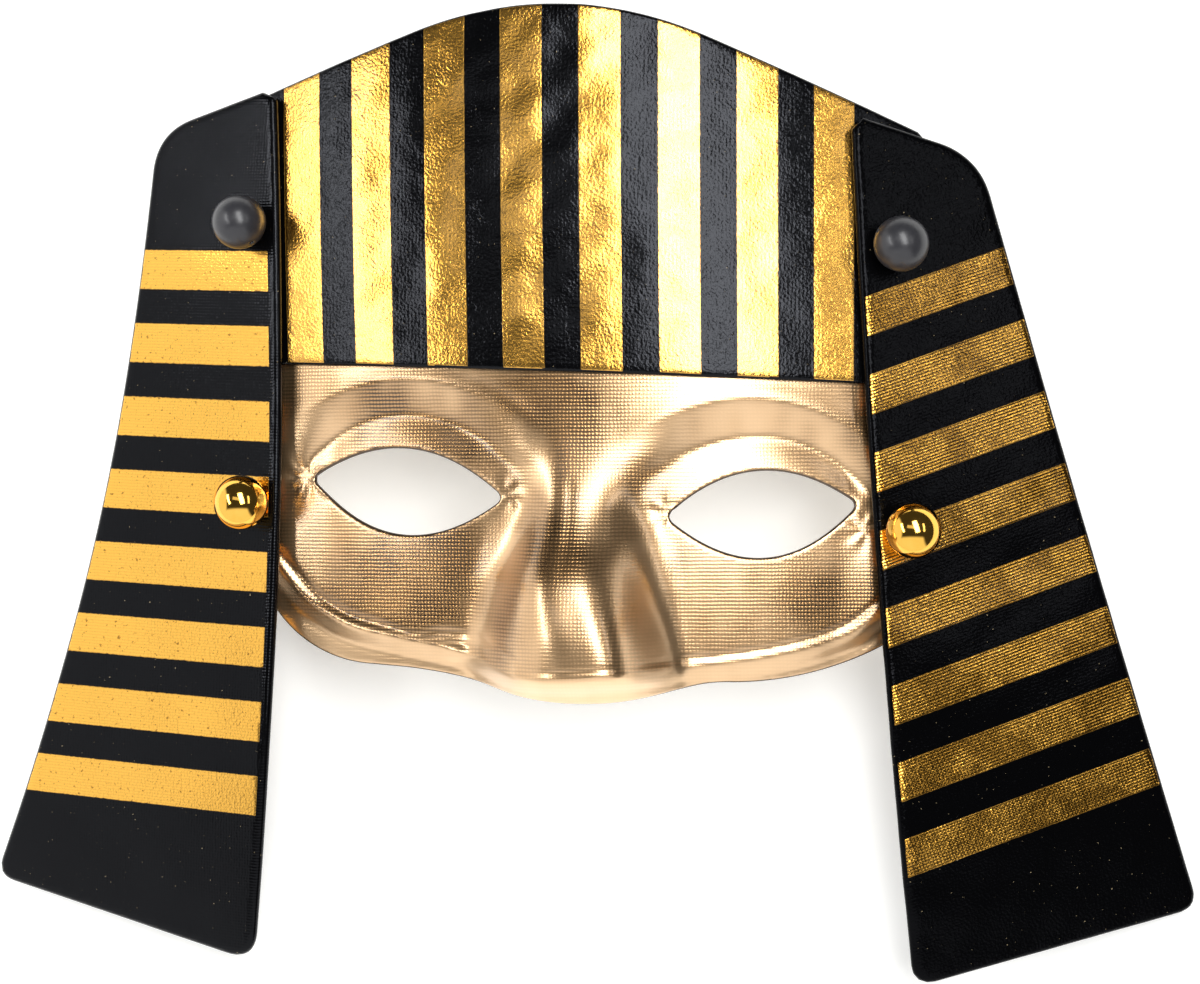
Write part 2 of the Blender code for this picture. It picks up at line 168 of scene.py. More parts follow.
def clothSheet(name, loops, place, extras, settings):
    # Grid cells inside the outline make the face. Its edge points are drawn onto the outline,
    # half a thickness in, and a half circle of rings carries them round to the same cells at the back.
    # place(u, v, detail) gives x, y, z in mm; every point is pushed down along the surface normal.
    thickness, (stepU, stepV) = settings["thickness"], settings["cell"]
    radius = thickness / 2
    low, high = loops[0].min(0), loops[0].max(0)
    us = np.arange(low[0] - stepU, high[0] + 2 * stepU, stepU)
    vs = np.arange(low[1] - stepV, high[1] + 2 * stepV, stepV)
    grid = np.stack(np.meshgrid(us, vs, indexing="ij"), -1)
    shape = grid.shape[:2]
    distance, nearest = toEdge(grid.reshape(-1, 2), loops)
    distance, nearest = distance.reshape(shape), nearest.reshape(grid.shape)
    inside = distance > radius - 0.3 * min(stepU, stepV)
    keep = inside[:-1, :-1] & inside[1:, :-1] & inside[1:, 1:] & inside[:-1, 1:]
    around = np.pad(keep, 1)
    cells = np.stack([around[:-1, :-1], around[1:, :-1], around[:-1, 1:], around[1:, 1:]]).sum(0)
    used, border = cells > 0, (cells > 0) & (cells < 4)
    inward = (grid - nearest) / np.maximum(np.abs(distance), 1e-6)[..., None]
    flat = np.where(border[..., None], nearest + inward * radius, grid)
    # eight rounds of averaging even out the cells beside the edge
    near = used & ~border & (distance < radius + 4 * max(stepU, stepV))
    for _ in range(8):
        mean = (np.roll(flat, 1, 0) + np.roll(flat, -1, 0) + np.roll(flat, 1, 1) + np.roll(flat, -1, 1)) / 4
        flat = np.where(near[..., None], mean, flat)

    number = np.full(shape, -1)
    number[used] = np.arange(used.sum())
    i, j = np.nonzero(keep)
    front = np.stack([number[i, j], number[i + 1, j], number[i + 1, j + 1], number[i, j + 1]], 1)
    corner = np.full(shape, -1)
    corner[border] = np.arange(border.sum())
    rims = []
    for axis in (0, 1):
        first = around[1:-1, :] if axis == 0 else around[:, 1:-1]
        behind, ahead = (first[:, :-1], first[:, 1:]) if axis == 0 else (first[:-1, :], first[1:, :])
        for lone, forward in ((ahead & ~behind, axis == 0), (behind & ~ahead, axis == 1)):
            i, j = np.nonzero(lone)
            a = corner[i, j]
            b = corner[i + 1, j] if axis == 0 else corner[i, j + 1]
            rims.append(np.stack([a, b] if forward else [b, a], 1))
    rims = np.concatenate(rims)

    params, drops = [flat[used]], [np.zeros(used.sum())]
    for angle in np.radians(edgeAngles):
        params.append(nearest[border] + inward[border] * (radius * (1 - cos(angle))))
        drops.append(np.full(border.sum(), radius * (1 - sin(angle))))
    params.append(flat[used])
    drops.append(np.full(used.sum(), thickness))
    params, drops = np.concatenate(params), np.concatenate(drops)
    total = used.sum()
    back = total + len(edgeAngles) * border.sum()
    rimStart = [number[border]]
    rimStart += [total + k * border.sum() + np.arange(border.sum()) for k in range(len(edgeAngles))]
    rimStart.append(number[border] + back)
    faces, slots = [front], [np.zeros(len(front))]
    for upper, lower in zip(rimStart[:-1], rimStart[1:]):
        a, b = rims.T
        faces.append(np.stack([upper[b], upper[a], lower[a], lower[b]], 1))
        slots.append(np.zeros(len(rims)))
    faces.append(front[:, ::-1] + back)
    i, j = np.nonzero(keep)
    slots.append((distance[i, j] > settings["turnedIn"]).astype(float))
    faces, slots = np.concatenate(faces), np.concatenate(slots)

    # the folds of the cloth fade out through the thickness, so that the back is plain
    u, v = params.T
    detail = np.clip(1 - drops / thickness, 0, 1)
    reach = 0.05  # mm to either side, for the slopes
    surface = np.stack(place(u, v, detail), 1)
    alongU = np.stack(place(u + reach, v, detail), 1) - np.stack(place(u - reach, v, detail), 1)
    alongV = np.stack(place(u, v + reach, detail), 1) - np.stack(place(u, v - reach, detail), 1)
    normal = np.cross(alongU, alongV)
    normal /= np.linalg.norm(normal, axis=1)[:, None]
    points = (surface - normal * drops[:, None] + faceLine) * mm
    margin = np.concatenate([distance[used], np.zeros(back - total), distance[used]])
    fields = {"margin": margin, **extras(u, v, margin)}
    sheet = meshFrom(name, points, faces, slots, {"cloth": params * mm}, fields)
    print(name, len(faces) * 2, "triangles")
    return sheet


# The shapes of the solids, as functions of mm across and up. The panel's lower edge is the headdress's foot
headdress = {"lean": 5.2, "leanLength": 75.0, "foot": 30.4, "footSlope": -0.038}


def frontHeight(x, lift=0.0):
    # Height of the front's arc, raised square to it by lift: a circle about a centre far below
    return shell["crest"] - shell["radius"] + np.sqrt((shell["radius"] + lift) ** 2 - x * x)


def lean(y):
    # How far the headdress drops back above the forehead line: a parabola
    return headdress["lean"] * (np.maximum(y - headdress["foot"], 0) / headdress["leanLength"]) ** 2


# Moulded half mask in gold cloth
shell = {
    "crest": 50.0, "radius": 211.0, "halfWidth": 84.0,  # arc of the front, from side to side
    "templeRadius": 25.0, "wingSlope": radians(65), "wingLength": 26.0,
    "thickness": 1.6, "cell": (0.95, 0.68), "turnedIn": 6.0,
    "turn": radians(-3.6), "eyeLevel": -2.0, "eyeCentre": 46.6,
    "eyeHalf": {"left": 26.4, "right": 24.6}, "eyeSlant": {"left": radians(2.4), "right": radians(7.4)},
    "eyeBows": (-12.2, -10.2), "eyeCornerCut": 2.0,
    # the nose by distance up the face: where its crest and feet are, and how tall it stands
    "noseUp": (-46, -34, -22, -10, 0, 14, 24),
    "noseCrest": (6.5, 3.0, -1.0, -2.4, -2.2, -2, -2),
    "noseTall": (19.6, 18.4, 14.4, 7.3, 2.9, 0.4, 0),
    "noseLeft": (-34, -30, -25, -19.5, -17, -15, -15),
    "noseRight": (37.5, 34, 29.5, 25, 19, 15, 15),
    # powers of its section: at the bridge, what is added lower down, and what is added on the right
    "noseBlunt": (1.3, 0.3, 0.15), "nosePower": (1.5, 1.5),
    "undersideLength": 14.0, "undersideShare": 0.6,
    # the brow's upper line and the crease over the lid: how high, how far out, and how widely they arch
    "browTop": 28.5, "browMiddle": 45.0, "browArch": 10.0,
    "creaseTop": 19.0, "creaseMiddle": 47.0, "creaseArch": (8.6, 7.2),
    "browDepth": 4.4, "browPower": 1.35, "browRidge": 0.3, "creaseRound": 9.0,
    "lidRise": 1.9, "lidLength": 4.0,
    "rimDrop": 1.8, "rimDropWidth": 5.0, "cheekRecede": 4.0, "cheekLength": 50.0,
    "seam": (-2.2, 0.12, 0.9),  # down the bridge: how far across, how deep and how wide
    # gathers at the eye corners: where, how far they reach, how many folds and how deep
    "gathers": [(-74.5, 1.5, 6, 7, 0.3), (-19, 0, 4, 5, 0.2), (22, -1.5, 4, 5, 0.2), (73, -3, 5, 6, 0.22)],
    # how tight the knit is: in plain places, what the brows add, and on the nose's flanks
    "tightPlain": 0.5, "tightBrow": 0.4, "tightFlank": 0.9,
    "tightWaver": ((0.12, 22, 3), (0.08, 7, 4)),  # unevenness, wavelength and seed
    # slack patches, which through the colour are also painted shade and dark reflection where the face
    # looks dark: where, and how wide and high, and how much slacker their middles are
    "slackShadeDrop": 0.85,
    "slackShade": [
        (-38, 14.5, 22, 7), (-55, 23, 12, 7), (-14, 25, 14, 6), (-3, 14, 7, 14), (76, 20, 11, 10),
        (-40, -22, 20, 13), (66, -22, 15, 7), (-3, -14, 8, 8), (14, 8, 8, 6), (-60, -32, 20, 4),
    ],
    "outline": [
        (0, -57.8, 24, 0), (33, -49.4, 6, -4.3), (84, -36.5, 8, 0), (114, 2.5, 0, 0), (114, 38, 0, 0),
        (-114, 38, 0, 0), (-114, 7.7, 0, 0), (-74, -44.6, 16, 0), (-36, -47, 14, 0),
    ],
    # the raised bead along the lower rim, as seen from above
    "beadX": (-90, -80.8, -75, -66, -48, -33.6, -14.3, 0, 7.5, 32, 49, 61.7, 70.4, 76.3, 90),
    "beadY": (
        -10, -21.2, -27.6, -33.5, -38.3, -41, -47.1, -47.4, -46.7, -44.7, -42.4, -39.2, -35.4, -30.8, -19,
    ),
    # the bead and the crease above it: in the middle, then what is added on the right and on the left
    "beadWidth": (0.9, 0.2, 0.4), "beadHeight": (0.4, -0.22, 0.3), "beadCrease": (0.2, 0.1, 0.4),
    "rimGroove": (0.22, 4.2, 1.3),  # how deep, how far below the bead and how wide
    # a crease in the cloth beside the nose's left foot, how deep it is, and the bulge at its end
    "creaseX": (-44, -37.9, -28.7, -22.9, -15, -9), "creaseY": (-38.6, -38.4, -39.3, -40.9, -45, -47),
    "creaseDepth": 0.35, "bulge": 0.6,
}
sides = {"left": -1, "right": 1}


def maskSection(along):
    # Front arc, tight temple arc, then a straight wing, by distance along the section: circles and a line
    side, reach = np.sign(along), np.abs(along)
    radius, temple, slope = shell["radius"], shell["templeRadius"], shell["wingSlope"]
    frontAngle = asin(shell["halfWidth"] / radius)
    frontLength, templeLength = radius * frontAngle, temple * (slope - frontAngle)
    angle = np.minimum(reach, frontLength) / radius
    x = radius * np.sin(angle)
    z = frontHeight(x)
    angle = angle + np.clip(reach - frontLength, 0, templeLength) / temple
    bent = reach > frontLength
    x = x + np.where(bent, temple * (np.sin(angle) - sin(frontAngle)), 0)
    z = z - np.where(bent, temple * (cos(frontAngle) - np.cos(angle)), 0)
    rest = np.maximum(reach - frontLength - templeLength, 0)
    return side * (x + rest * cos(slope)), z - rest * sin(slope)


sectionLength = (
    shell["radius"] * asin(shell["halfWidth"] / shell["radius"])
    + shell["templeRadius"] * (shell["wingSlope"] - asin(shell["halfWidth"] / shell["radius"]))
    + shell["wingLength"]
)


def alongSection(x):
    # The section's length at a given x, read back from a fine table of the section itself
    table = np.linspace(-sectionLength, sectionLength, 2001)
    return np.interp(x, maskSection(table)[0], table)


def onFace(x, y):
    # Distances across and up the face, which is turned a little against the headdress
    turn, y = shell["turn"], y - shell["eyeLevel"]
    return x * cos(turn) + y * sin(turn), y * cos(turn) - x * sin(turn)


def aboveRim(x, y):
    # Distance square to the rim's bead, positive on the cheek side
    bead = curveThrough(shell["beadX"], shell["beadY"], x)
    steep = curveThrough(shell["beadX"], shell["beadY"], x + 1) - bead
    return (y - bead) / np.sqrt(1 + steep ** 2)


def noseForm(across, up, above):
    # A ridge along a slightly bent crest, round on top, with wide feet and a sloping underside: a raised
    # cosine of the share of the way to the foot, taken to a power, and more hollow at the foot on the right
    crest = curveThrough(shell["noseUp"], shell["noseCrest"], up)
    tall = curveThrough(shell["noseUp"], shell["noseTall"], up)
    left = curveThrough(shell["noseUp"], shell["noseLeft"], up)
    right = curveThrough(shell["noseUp"], shell["noseRight"], up)
    away = across - crest
    share = np.clip(np.where(away < 0, away / (left - crest), away / (right - crest)), 0, 1)
    low = smoothStep((-4 - up) / 20)
    hollow = low * (away > 0)
    blunt, bluntLow, bluntHollow = shell["noseBlunt"]
    power, powerHollow = shell["nosePower"]
    wave = np.cos(pi * share ** (blunt + bluntLow * low + bluntHollow * hollow))
    section = (0.5 * (1 + wave)) ** (power + powerHollow * hollow)
    underside = smoothStep((1.5 - above) / shell["undersideLength"])
    return tall * section * (1 - shell["undersideShare"] * underside)


def browLines(aside):
    # Heights of the brow's upper line and of the crease over the lid: a parabola each
    inner, outer = shell["creaseArch"]
    out = aside - shell["creaseMiddle"]
    top = shell["browTop"] - ((aside - shell["browMiddle"]) / shell["browArch"]) ** 2
    return top, shell["creaseTop"] - (out / np.where(out < 0, inner, outer)) ** 2


def browForm(aside, up):
    # Under each brow the surface falls to a rounded crease, swells over the lid and comes back below the
    # eye: a power of the share of the way down, then an exponential rise
    top, crease = browLines(aside)
    bend = shell["creaseRound"]
    fall = np.maximum((top - up) / np.maximum(top - crease, 1), 0)
    fall = fall - softPositive((fall - 1) * bend) / bend + np.log1p(exp(-bend)) / bend
    depth = -shell["browDepth"] * np.maximum(fall, 0) ** shell["browPower"]
    lid = 1 - np.exp(-softPositive(crease - up) / shell["lidLength"])
    depth = depth + shell["lidRise"] * lid * smoothStep((aside - 8) / 16)
    # the recess fades in beside the nose, where it starts further out lower down, and out at the temple
    inner = smoothStep((aside - 3 - 0.3 * np.clip(8 - up, 0, 30)) / (17 + 1.1 * np.clip(up + 2, 0, 14)))
    outer = smoothStep((86 - aside) / 20)
    ridge = shell["browRidge"] * bell((up - top - 1.5) / 3) * smoothStep((aside - 8) / 12) * outer
    return ridge + depth * inner * outer


def faceRelief(x, y):
    # Nose and brows over the plain curve, and the step down to the rim. All fade out under the panel's
    # lower edge, a straight line
    across, up = onFace(x, y)
    above = aboveRim(x, y)
    height = noseForm(across, up, above) + browForm(np.abs(across), up)
    height = height - shell["rimDrop"] * smoothStep((-above - 0.5) / shell["rimDropWidth"])
    return height * smoothStep((headdress["foot"] + headdress["footSlope"] * x - y) / 3)


def clothFolds(x, y):
    # The seam down the bridge, a bell across it, and the small gathers at the corners of the eyes, sines
    # round each corner that fade outwards. They are in the cloth alone
    across, up = onFace(x, y)
    seamAcross, seamDepth, seamWidth = shell["seam"]
    seam = across - seamAcross + 0.5 * np.sin(up / 6)
    height = -seamDepth * bell(seam / seamWidth) * smoothStep((8 - up) / 6) * smoothStep((up + 24) / 10)
    for cornerX, cornerUp, size, tucks, depth in shell["gathers"]:
        away = np.hypot(across - cornerX, up - cornerUp)
        angle = np.arctan2(up - cornerUp, across - cornerX)
        fold = np.sin(tucks * angle + 0.35 * away)
        height = height + depth * fold * bell(away / size) * smoothStep(away / 2.5)
    return height


def rimRelief(x, y):
    # The moulded bead along the rim, the crease above it and the groove below it: a bell across each
    off = aboveRim(x, y)
    right, left = smoothStep((x - 5) / 25), smoothStep((-45 - x) / 12)
    wide, high, deep = (
        middle + onRight * right + onLeft * left
        for middle, onRight, onLeft in (shell["beadWidth"], shell["beadHeight"], shell["beadCrease"])
    )
    height = high * bell(off / wide) + 0.15 * right * bell((off + 2) / 2)
    height = height - deep * bell((off - 1.9 * wide) / (0.6 + 0.5 * left))
    groove, below, spread = shell["rimGroove"]
    height = height - groove * bell((off + below) / spread)
    crease = curveThrough(shell["creaseX"], shell["creaseY"], x)
    fadeIn = smoothStep((x + 43) / 5) * smoothStep((-10 - x) / 5)
    height = height - shell["creaseDepth"] * fadeIn * bell((y - crease - 1.8) / 1.0)
    height = height + shell["bulge"] * bell((x + 33) / 3.5) * bell((y + 42) / 1.8)
    return height * smoothStep((92 - np.abs(x)) / 6)


def faceSurface(u, v, detail):
    # u runs along the section and v up the face. The cheeks draw back as a parabola
    x, z = maskSection(u)
    recede = shell["cheekRecede"] * (np.minimum(v, 0) / shell["cheekLength"]) ** 2
    z = z - recede - lean(v) + faceRelief(x, v)
    return x, v, z + (rimRelief(x, v) + clothFolds(x, v)) * detail


def stretchedCloth(u, v, margin):
    # Where the knit is pulled smooth over a form, from 0 where it is slack to 1 where it is tight. The
    # slack patches lower it where the face looks dark, so in the colour they are partly painted shade
    x = maskSection(u)[0]
    across, up = onFace(x, v)
    aside, above = np.abs(across), aboveRim(x, v)
    top, crease = browLines(aside)
    brow = smoothStep((top + 3 - up) / 6) * smoothStep((up - crease + 2) / 5) * smoothStep(aside / 12)
    tight = shell["tightPlain"] + shell["tightBrow"] * brow
    flanks = bell((aside - 14 + 0.25 * up) / 8) * smoothStep((-4 - up) / 8) * smoothStep((up + 44) / 6)
    tight = np.maximum(tight, shell["tightFlank"] * flanks)
    tight = np.maximum(tight, smoothStep((1.5 - above) / 2.5))
    # the slack patches darken the colour: painted shade and dark reflection as well as slacker knit
    for slackX, slackUp, wide, high in shell["slackShade"]:
        slackShade = bell(np.hypot((across - slackX) / wide, (up - slackUp) / high))
        tight = tight - shell["slackShadeDrop"] * slackShade
    for uneven, wavelength, seed in shell["tightWaver"]:
        tight = tight + uneven * waver(x, v, wavelength, seed)
    return {"tight": np.clip(tight, 0, 1)}


def eyeOutline(side):
    # Two bowed edges between two corners, slanted about the eye's middle and turned with the face
    half, cut = shell["eyeHalf"][side], shell["eyeCornerCut"]
    lower, upper = shell["eyeBows"]
    loop = roundedOutline([(-half, 0, cut, lower), (half, 0, cut, upper)], 0.7)
    slant, turn = sides[side] * shell["eyeSlant"][side], shell["turn"]
    spin = np.array([[cos(slant), sin(slant)], [-sin(slant), cos(slant)]])
    twist = np.array([[cos(turn), sin(turn)], [-sin(turn), cos(turn)]])
    return (loop @ spin + (sides[side] * shell["eyeCentre"], 0)) @ twist + (0, shell["eyeLevel"])


def makeHalfMask():
    loops = [roundedOutline(shell["outline"]), eyeOutline("left"), eyeOutline("right")]
    for loop in loops:
        loop[:, 0] = alongSection(loop[:, 0])
    # the wings end on the surface that the mask lies on
    end = np.sign(loops[0][:, 0]) * sectionLength
    under = np.maximum(shell["thickness"] * 0.6 - faceSurface(end, loops[0][:, 1], 0)[2], 0)
    reach = sectionLength - under / sin(shell["wingSlope"])
    loops[0][:, 0] = np.clip(loops[0][:, 0], -reach, reach)
    return clothSheet("gold_half_mask", loops, faceSurface, stretchedCloth, shell)


# Forehead panel
panel = {
    "thickness": 2.0, "lift": 2.3, "cell": (1.1, 1.1), "turnedIn": 7.0,
    "outline": [
        (-93, 34, 0, 0), (88, 27.1, 0, 0), (88, 93, 0, 0), (-5.3, 134.3, 42, 0), (-93, 103.6, 0, 0),
    ],
    # stripes: how many, centre and pitch of the first, pitch lost per stripe, mean pitch and width of gold,
    # then from which height they slant and fan out, and how much to each mm
    "stripes": 8, "firstCentre": -75.0, "pitch": 20.41, "pitchLoss": 0.04, "meanPitch": 20.2, "gold": 10.65,
    "stripeFoot": 31.0, "stripeSlant": 0.0175, "stripeFan": 0.00026,
    "dents": ((34, 5, 0.3), (15, 6, 0.24), (8, 7, 0.07)),  # wavelength, seed and depth
    "dentsPlace": (-18.0, 26.0, 0.35),  # where they are deepest, how widely, and their share elsewhere
}


def panelSurface(u, v, detail):
    # The front's arc a little further out, with soft dents that fade in above the lower edge
    radius = shell["radius"] + panel["lift"]
    x = radius * np.sin(u / radius)
    soft = sum(waver(u, v, length, seed) * depth for length, seed, depth in panel["dents"])
    # most uneven near the middle, where it was folded
    middle, spread, elsewhere = panel["dentsPlace"]
    soft = soft * (elsewhere + (1 - elsewhere) * bell((u - middle) / spread))
    return x, v, frontHeight(x, panel["lift"]) - lean(v) + soft * smoothStep((v - 30) / 20)


def panelStripes(u, v, margin):
    # Which stripe a point is on, counted from the left, with its share of the pitch as the fraction. The
    # stripes fan out a little towards the top and their pitch shrinks a little from one to the next
    rise = v - panel["stripeFoot"]
    foot = (u + panel["stripeSlant"] * rise) / (1 + panel["stripeFan"] * rise)
    pitch, loss = panel["pitch"], panel["pitchLoss"]
    under = np.maximum(pitch ** 2 - 4 * loss * (foot - panel["firstCentre"]), 0)
    count = (pitch - np.sqrt(under)) / (2 * loss) + panel["gold"] / pitch / 2
    return {"stripe": np.clip(count, -0.2, panel["stripes"] - 0.2), "inset": margin}


def makeForeheadPanel():
    loop = roundedOutline(panel["outline"])
    radius = shell["radius"] + panel["lift"]
    loop[:, 0] = radius * np.arcsin(loop[:, 0] / radius)
    return clothSheet("striped_forehead_panel", [loop], panelSurface, panelStripes, panel)


# Lappets
lappets = {
    "thickness": 3.0, "lift": 5.9, "hinge": 81.0, "cell": (1.15, 1.15), "turnedIn": 8.0,
    "tilt": {"left": radians(20), "right": radians(21.4)}, "droop": (8.0, -35.0, 85.0),
    "dents": {"left": ((42, 0.12), (15, 0.03)), "right": ((42, 0.15), (15, 0.13))},  # wavelength and depth
    "left": [(83.2, 107.4, 1.5, 0), (118.6, 97.2, 11, -9.5), (169.8, -107.2, 6, 0), (90.8, -126.2, 8, 5.8)],
    "right": [(69.7, 97.3, 1.5, 0), (102.6, 87.4, 11, -0.8), (161.6, -111.4, 6, 0), (85.8, -129.7, 6, 1.6)],
    # top edge of the first gold stripe this far out, stripe pitch, gold width, slope, slope lost per stripe
    "stripesOut": 110.0,
    "stripes": {"left": (64.5, 19.82, 10.5, 0.0507, 0.0), "right": (64.0, 20.66, 10.45, 0.3839, 0.00566)},
    "stripeCount": 8,
    "foilStart": 86.2, "foilSpread": 5.8, "foilBow": 23.2,  # line where the left lappet's foil ends
}


def lappetHeight(side, out, y):
    # A plane tilted outwards from its hinge, leaning at the top and drooping below as parabolas
    depth, start, length = lappets["droop"]
    droop = depth * (np.maximum(start - y, 0) / length) ** 2
    hinge = frontHeight(lappets["hinge"], lappets["lift"])
    return hinge - (out - lappets["hinge"]) * tan(lappets["tilt"][side]) - droop - lean(y)


def makeLappet(side):
    sign = sides[side]
    corners = [(sign * x, y, cut, bow * sign) for x, y, cut, bow in lappets[side]]
    top, pitch, _, slope, slopeLoss = lappets["stripes"][side]

    def surface(u, v, detail):
        soft = sum(waver(u, v, length, 11 + sign) * depth for length, depth in lappets["dents"][side])
        return u, v, lappetHeight(side, sign * u, v) + soft

    def stripes(u, v, margin):
        out = sign * u
        further = out - lappets["stripesOut"]
        count = (top + slope * further - v) / (pitch + slopeLoss * further)
        # on the left the foil stops 1 to 3 mm short of the bowed edge beside the face
        upper, lower = lappets["left"][0][1], lappets["left"][-1][1]
        down = (upper - v) / (upper - lower)
        innerEdge = lappets["foilStart"] + lappets["foilSpread"] * down
        innerEdge = innerEdge - lappets["foilBow"] * down * (1 - down)
        inset = np.minimum(margin, out - innerEdge) if side == "left" else margin
        return {"stripe": np.clip(count, -0.2, lappets["stripeCount"] - 0.2), "inset": inset}

    return clothSheet("striped_" + side + "_lappet", [roundedOutline(corners)], surface, stripes, lappets)


# Beads
beads = {
    "diameter": 14.2, "flat": 0.4, "gap": 0.3, "hole": 0.55, "around": 72, "along": 56,
    "lipWidth": 1.6, "lipDepth": 0.8,  # rounded lip: times the hole's width, and its depth to its width
    "left_upper_bead": ("left", 90.8, 70.7), "right_upper_bead": ("right", 82.2, 63.1),
    "left_lower_bead": ("left", 89.9, -2.9), "right_lower_bead": ("right", 85.3, -10.0),
    "drillAngle": {"left": radians(128), "right": radians(155)},
}


def makeBead(node):
    # A ball turned about its thread hole: the profile runs over the ball, into the hole and back through
    # it. Below, the ball is cut flat
    side, out, y = beads[node]
    radius, hole, around = beads["diameter"] / 2, beads["hole"], beads["around"]
    start = asin(hole / radius) * beads["lipWidth"]
    angle = np.linspace(start, pi - start, beads["along"])
    lip = np.linspace(0, pi / 2, 4)[1:]
    endX = radius * cos(start)
    endR = radius * sin(start)
    lipX = endX - (endR - hole) * (1 - np.cos(lip)) * beads["lipDepth"]
    lipR = endR - (endR - hole) * np.sin(lip)
    profileX = np.concatenate([radius * np.cos(angle), -lipX, lipX[::-1]])
    profileR = np.concatenate([radius * np.sin(angle), lipR, lipR[::-1]])
    spin = np.linspace(0, 2 * pi, around, endpoint=False)
    x = np.repeat(profileX[:, None], around, 1)
    yy = profileR[:, None] * np.cos(spin)
    zz = np.maximum(profileR[:, None] * np.sin(spin), beads["flat"] - radius)
    local = np.stack([x, yy, zz], -1).reshape(-1, 3)
    rows, columns = len(profileX), around
    i, j = np.meshgrid(np.arange(rows), np.arange(columns), indexing="ij")
    i, j = i.ravel(), j.ravel()
    here, down, across = i * columns, (i + 1) % rows * columns, (j + 1) % columns
    faces = np.stack([here + j, down + j, down + across, here + across], 1)

    slopeY = (lappetHeight(side, out, y + 1) - lappetHeight(side, out, y - 1)) / 2
    normal = Vector((sides[side] * tan(lappets["tilt"][side]), -slopeY, 1)).normalized()
    foot = Vector((sides[side] * out, y, 0)) - normal * radius
    foot.z = lappetHeight(side, sides[side] * foot.x, foot.y) + beads["gap"]
    centre = foot + normal * (radius - beads["flat"])
    drill = beads["drillAngle"][side]
    axis = Vector((cos(drill), sin(drill), 0))
    axis = (axis - normal * axis.dot(normal)).normalized()
    turn = np.array(Matrix((axis, normal.cross(axis), normal)))
    points = (local @ turn + np.array(centre) + faceLine) * mm
    around2d = np.stack([np.repeat(profileX, around), np.tile(spin, rows)], 1)
    name = node.replace("bead", "sewn_bead")
    return meshFrom(name, points, faces, np.zeros(len(faces)), {"turned": around2d}, {})


# Materials. Noise scales are to the metre: at 1000 a grain is about 1 mm across

def linear(hexText):
    # sRGB hex to the linear colour that the shaders take
    values = np.array([int(hexText[k:k + 2], 16) for k in (0, 2, 4)]) / 255
    values = np.where(values <= 0.04045, values / 12.92, ((values + 0.055) / 1.055) ** 2.4)
    return (*values.tolist(), 1.0)


def addNode(tree, kind, values):
    # A shader node with its settings and inputs, by name or number. A socket as a value is linked
    node = tree.nodes.new(kind)
    for key, value in values.items():
        if isinstance(value, bpy.types.NodeSocket):
            tree.links.new(value, node.inputs[key])
        elif isinstance(key, str) and hasattr(node, key):
            setattr(node, key, value)
        else:
            node.inputs[key].default_value = value
    return node.outputs


def combine(tree, operation, *terms):
    # Arithmetic on numbers and sockets. MULTIPLY_ADD is the first times the second, plus the third
    return addNode(tree, "ShaderNodeMath", {"operation": operation, **dict(enumerate(terms))})[0]


def ramp(tree, value, start=0.0, end=1.0, low=0.0, high=1.0):
    # From low at start to high at end in a straight line, and level beyond both
    return addNode(tree, "ShaderNodeMapRange", {0: value, 1: start, 2: end, 3: low, 4: high})[0]


def blend(tree, share, first, second):
    # The first colour where share is 0 and the second where it is 1
    return addNode(tree, "ShaderNodeMix", {"data_type": "RGBA", 0: share, 6: first, 7: second})[2]


def noise(tree, place, scale, detail, distortion=0.0):
    values = {"Vector": place, "Scale": scale, "Detail": detail, "Distortion": distortion}
    return addNode(tree, "ShaderNodeTexNoise", values)["Fac"]


def bump(tree, height, depth):
    # Relief in the shading alone, depth mm deep
    values = {"Strength": 1.0, "Distance": depth * mm, "Height": height}
    return addNode(tree, "ShaderNodeBump", values)["Normal"]


def pointValue(tree, name):
    return addNode(tree, "ShaderNodeAttribute", {"attribute_name": name})["Fac"]


def flatCloth(tree):
    return addNode(tree, "ShaderNodeUVMap", {"uv_map": "cloth"})[0]


def inSpace(tree):
    return addNode(tree, "ShaderNodeTexCoord", {})["Object"]


def newMaterial(name, settings):
    material = bpy.data.materials.new(name)
    material.use_nodes = True
    shader = material.node_tree.nodes["Principled BSDF"]
    for key, value in settings.items():
        shader.inputs[key].default_value = value
    return material, material.node_tree, shader


def feed(tree, shader, sockets):
    for key, socket in sockets.items():
        tree.links.new(socket, shader.inputs[key])


def waveScale(pitch):
    # Blender's wave texture has 20 radians to a unit at scale 1
    return 2 * pi / 20 / (pitch * mm)


def clothRelief(tree, cloth, ribPitch, stitchPitch, ribAxis, slant=0.0):
    # Knitted ground: wavy ribs along the cloth, each a row of stitches, in real millimetres. They are as
    # wide as the rows in the photo, about 0.9 mm, and the threads within them aren't drawn
    placed = addNode(tree, "ShaderNodeMapping", {"Rotation": (0, 0, slant), "Vector": cloth})[0]
    across = "X" if ribAxis == "Y" else "Y"
    ribWaver = {"Distortion": 1.2, "Detail": 2.0, "Detail Scale": 0.6, "Detail Roughness": 0.6}
    stitchWaver = {"Distortion": 3.0, "Detail": 1.0, "Detail Scale": 1.0}
    relief = []
    for axis, pitch, uneven in ((ribAxis, ribPitch, ribWaver), (across, stitchPitch, stitchWaver)):
        values = {"bands_direction": axis, "Scale": waveScale(pitch), "Vector": placed, **uneven}
        relief.append(addNode(tree, "ShaderNodeTexWave", values)["Fac"])
    return relief
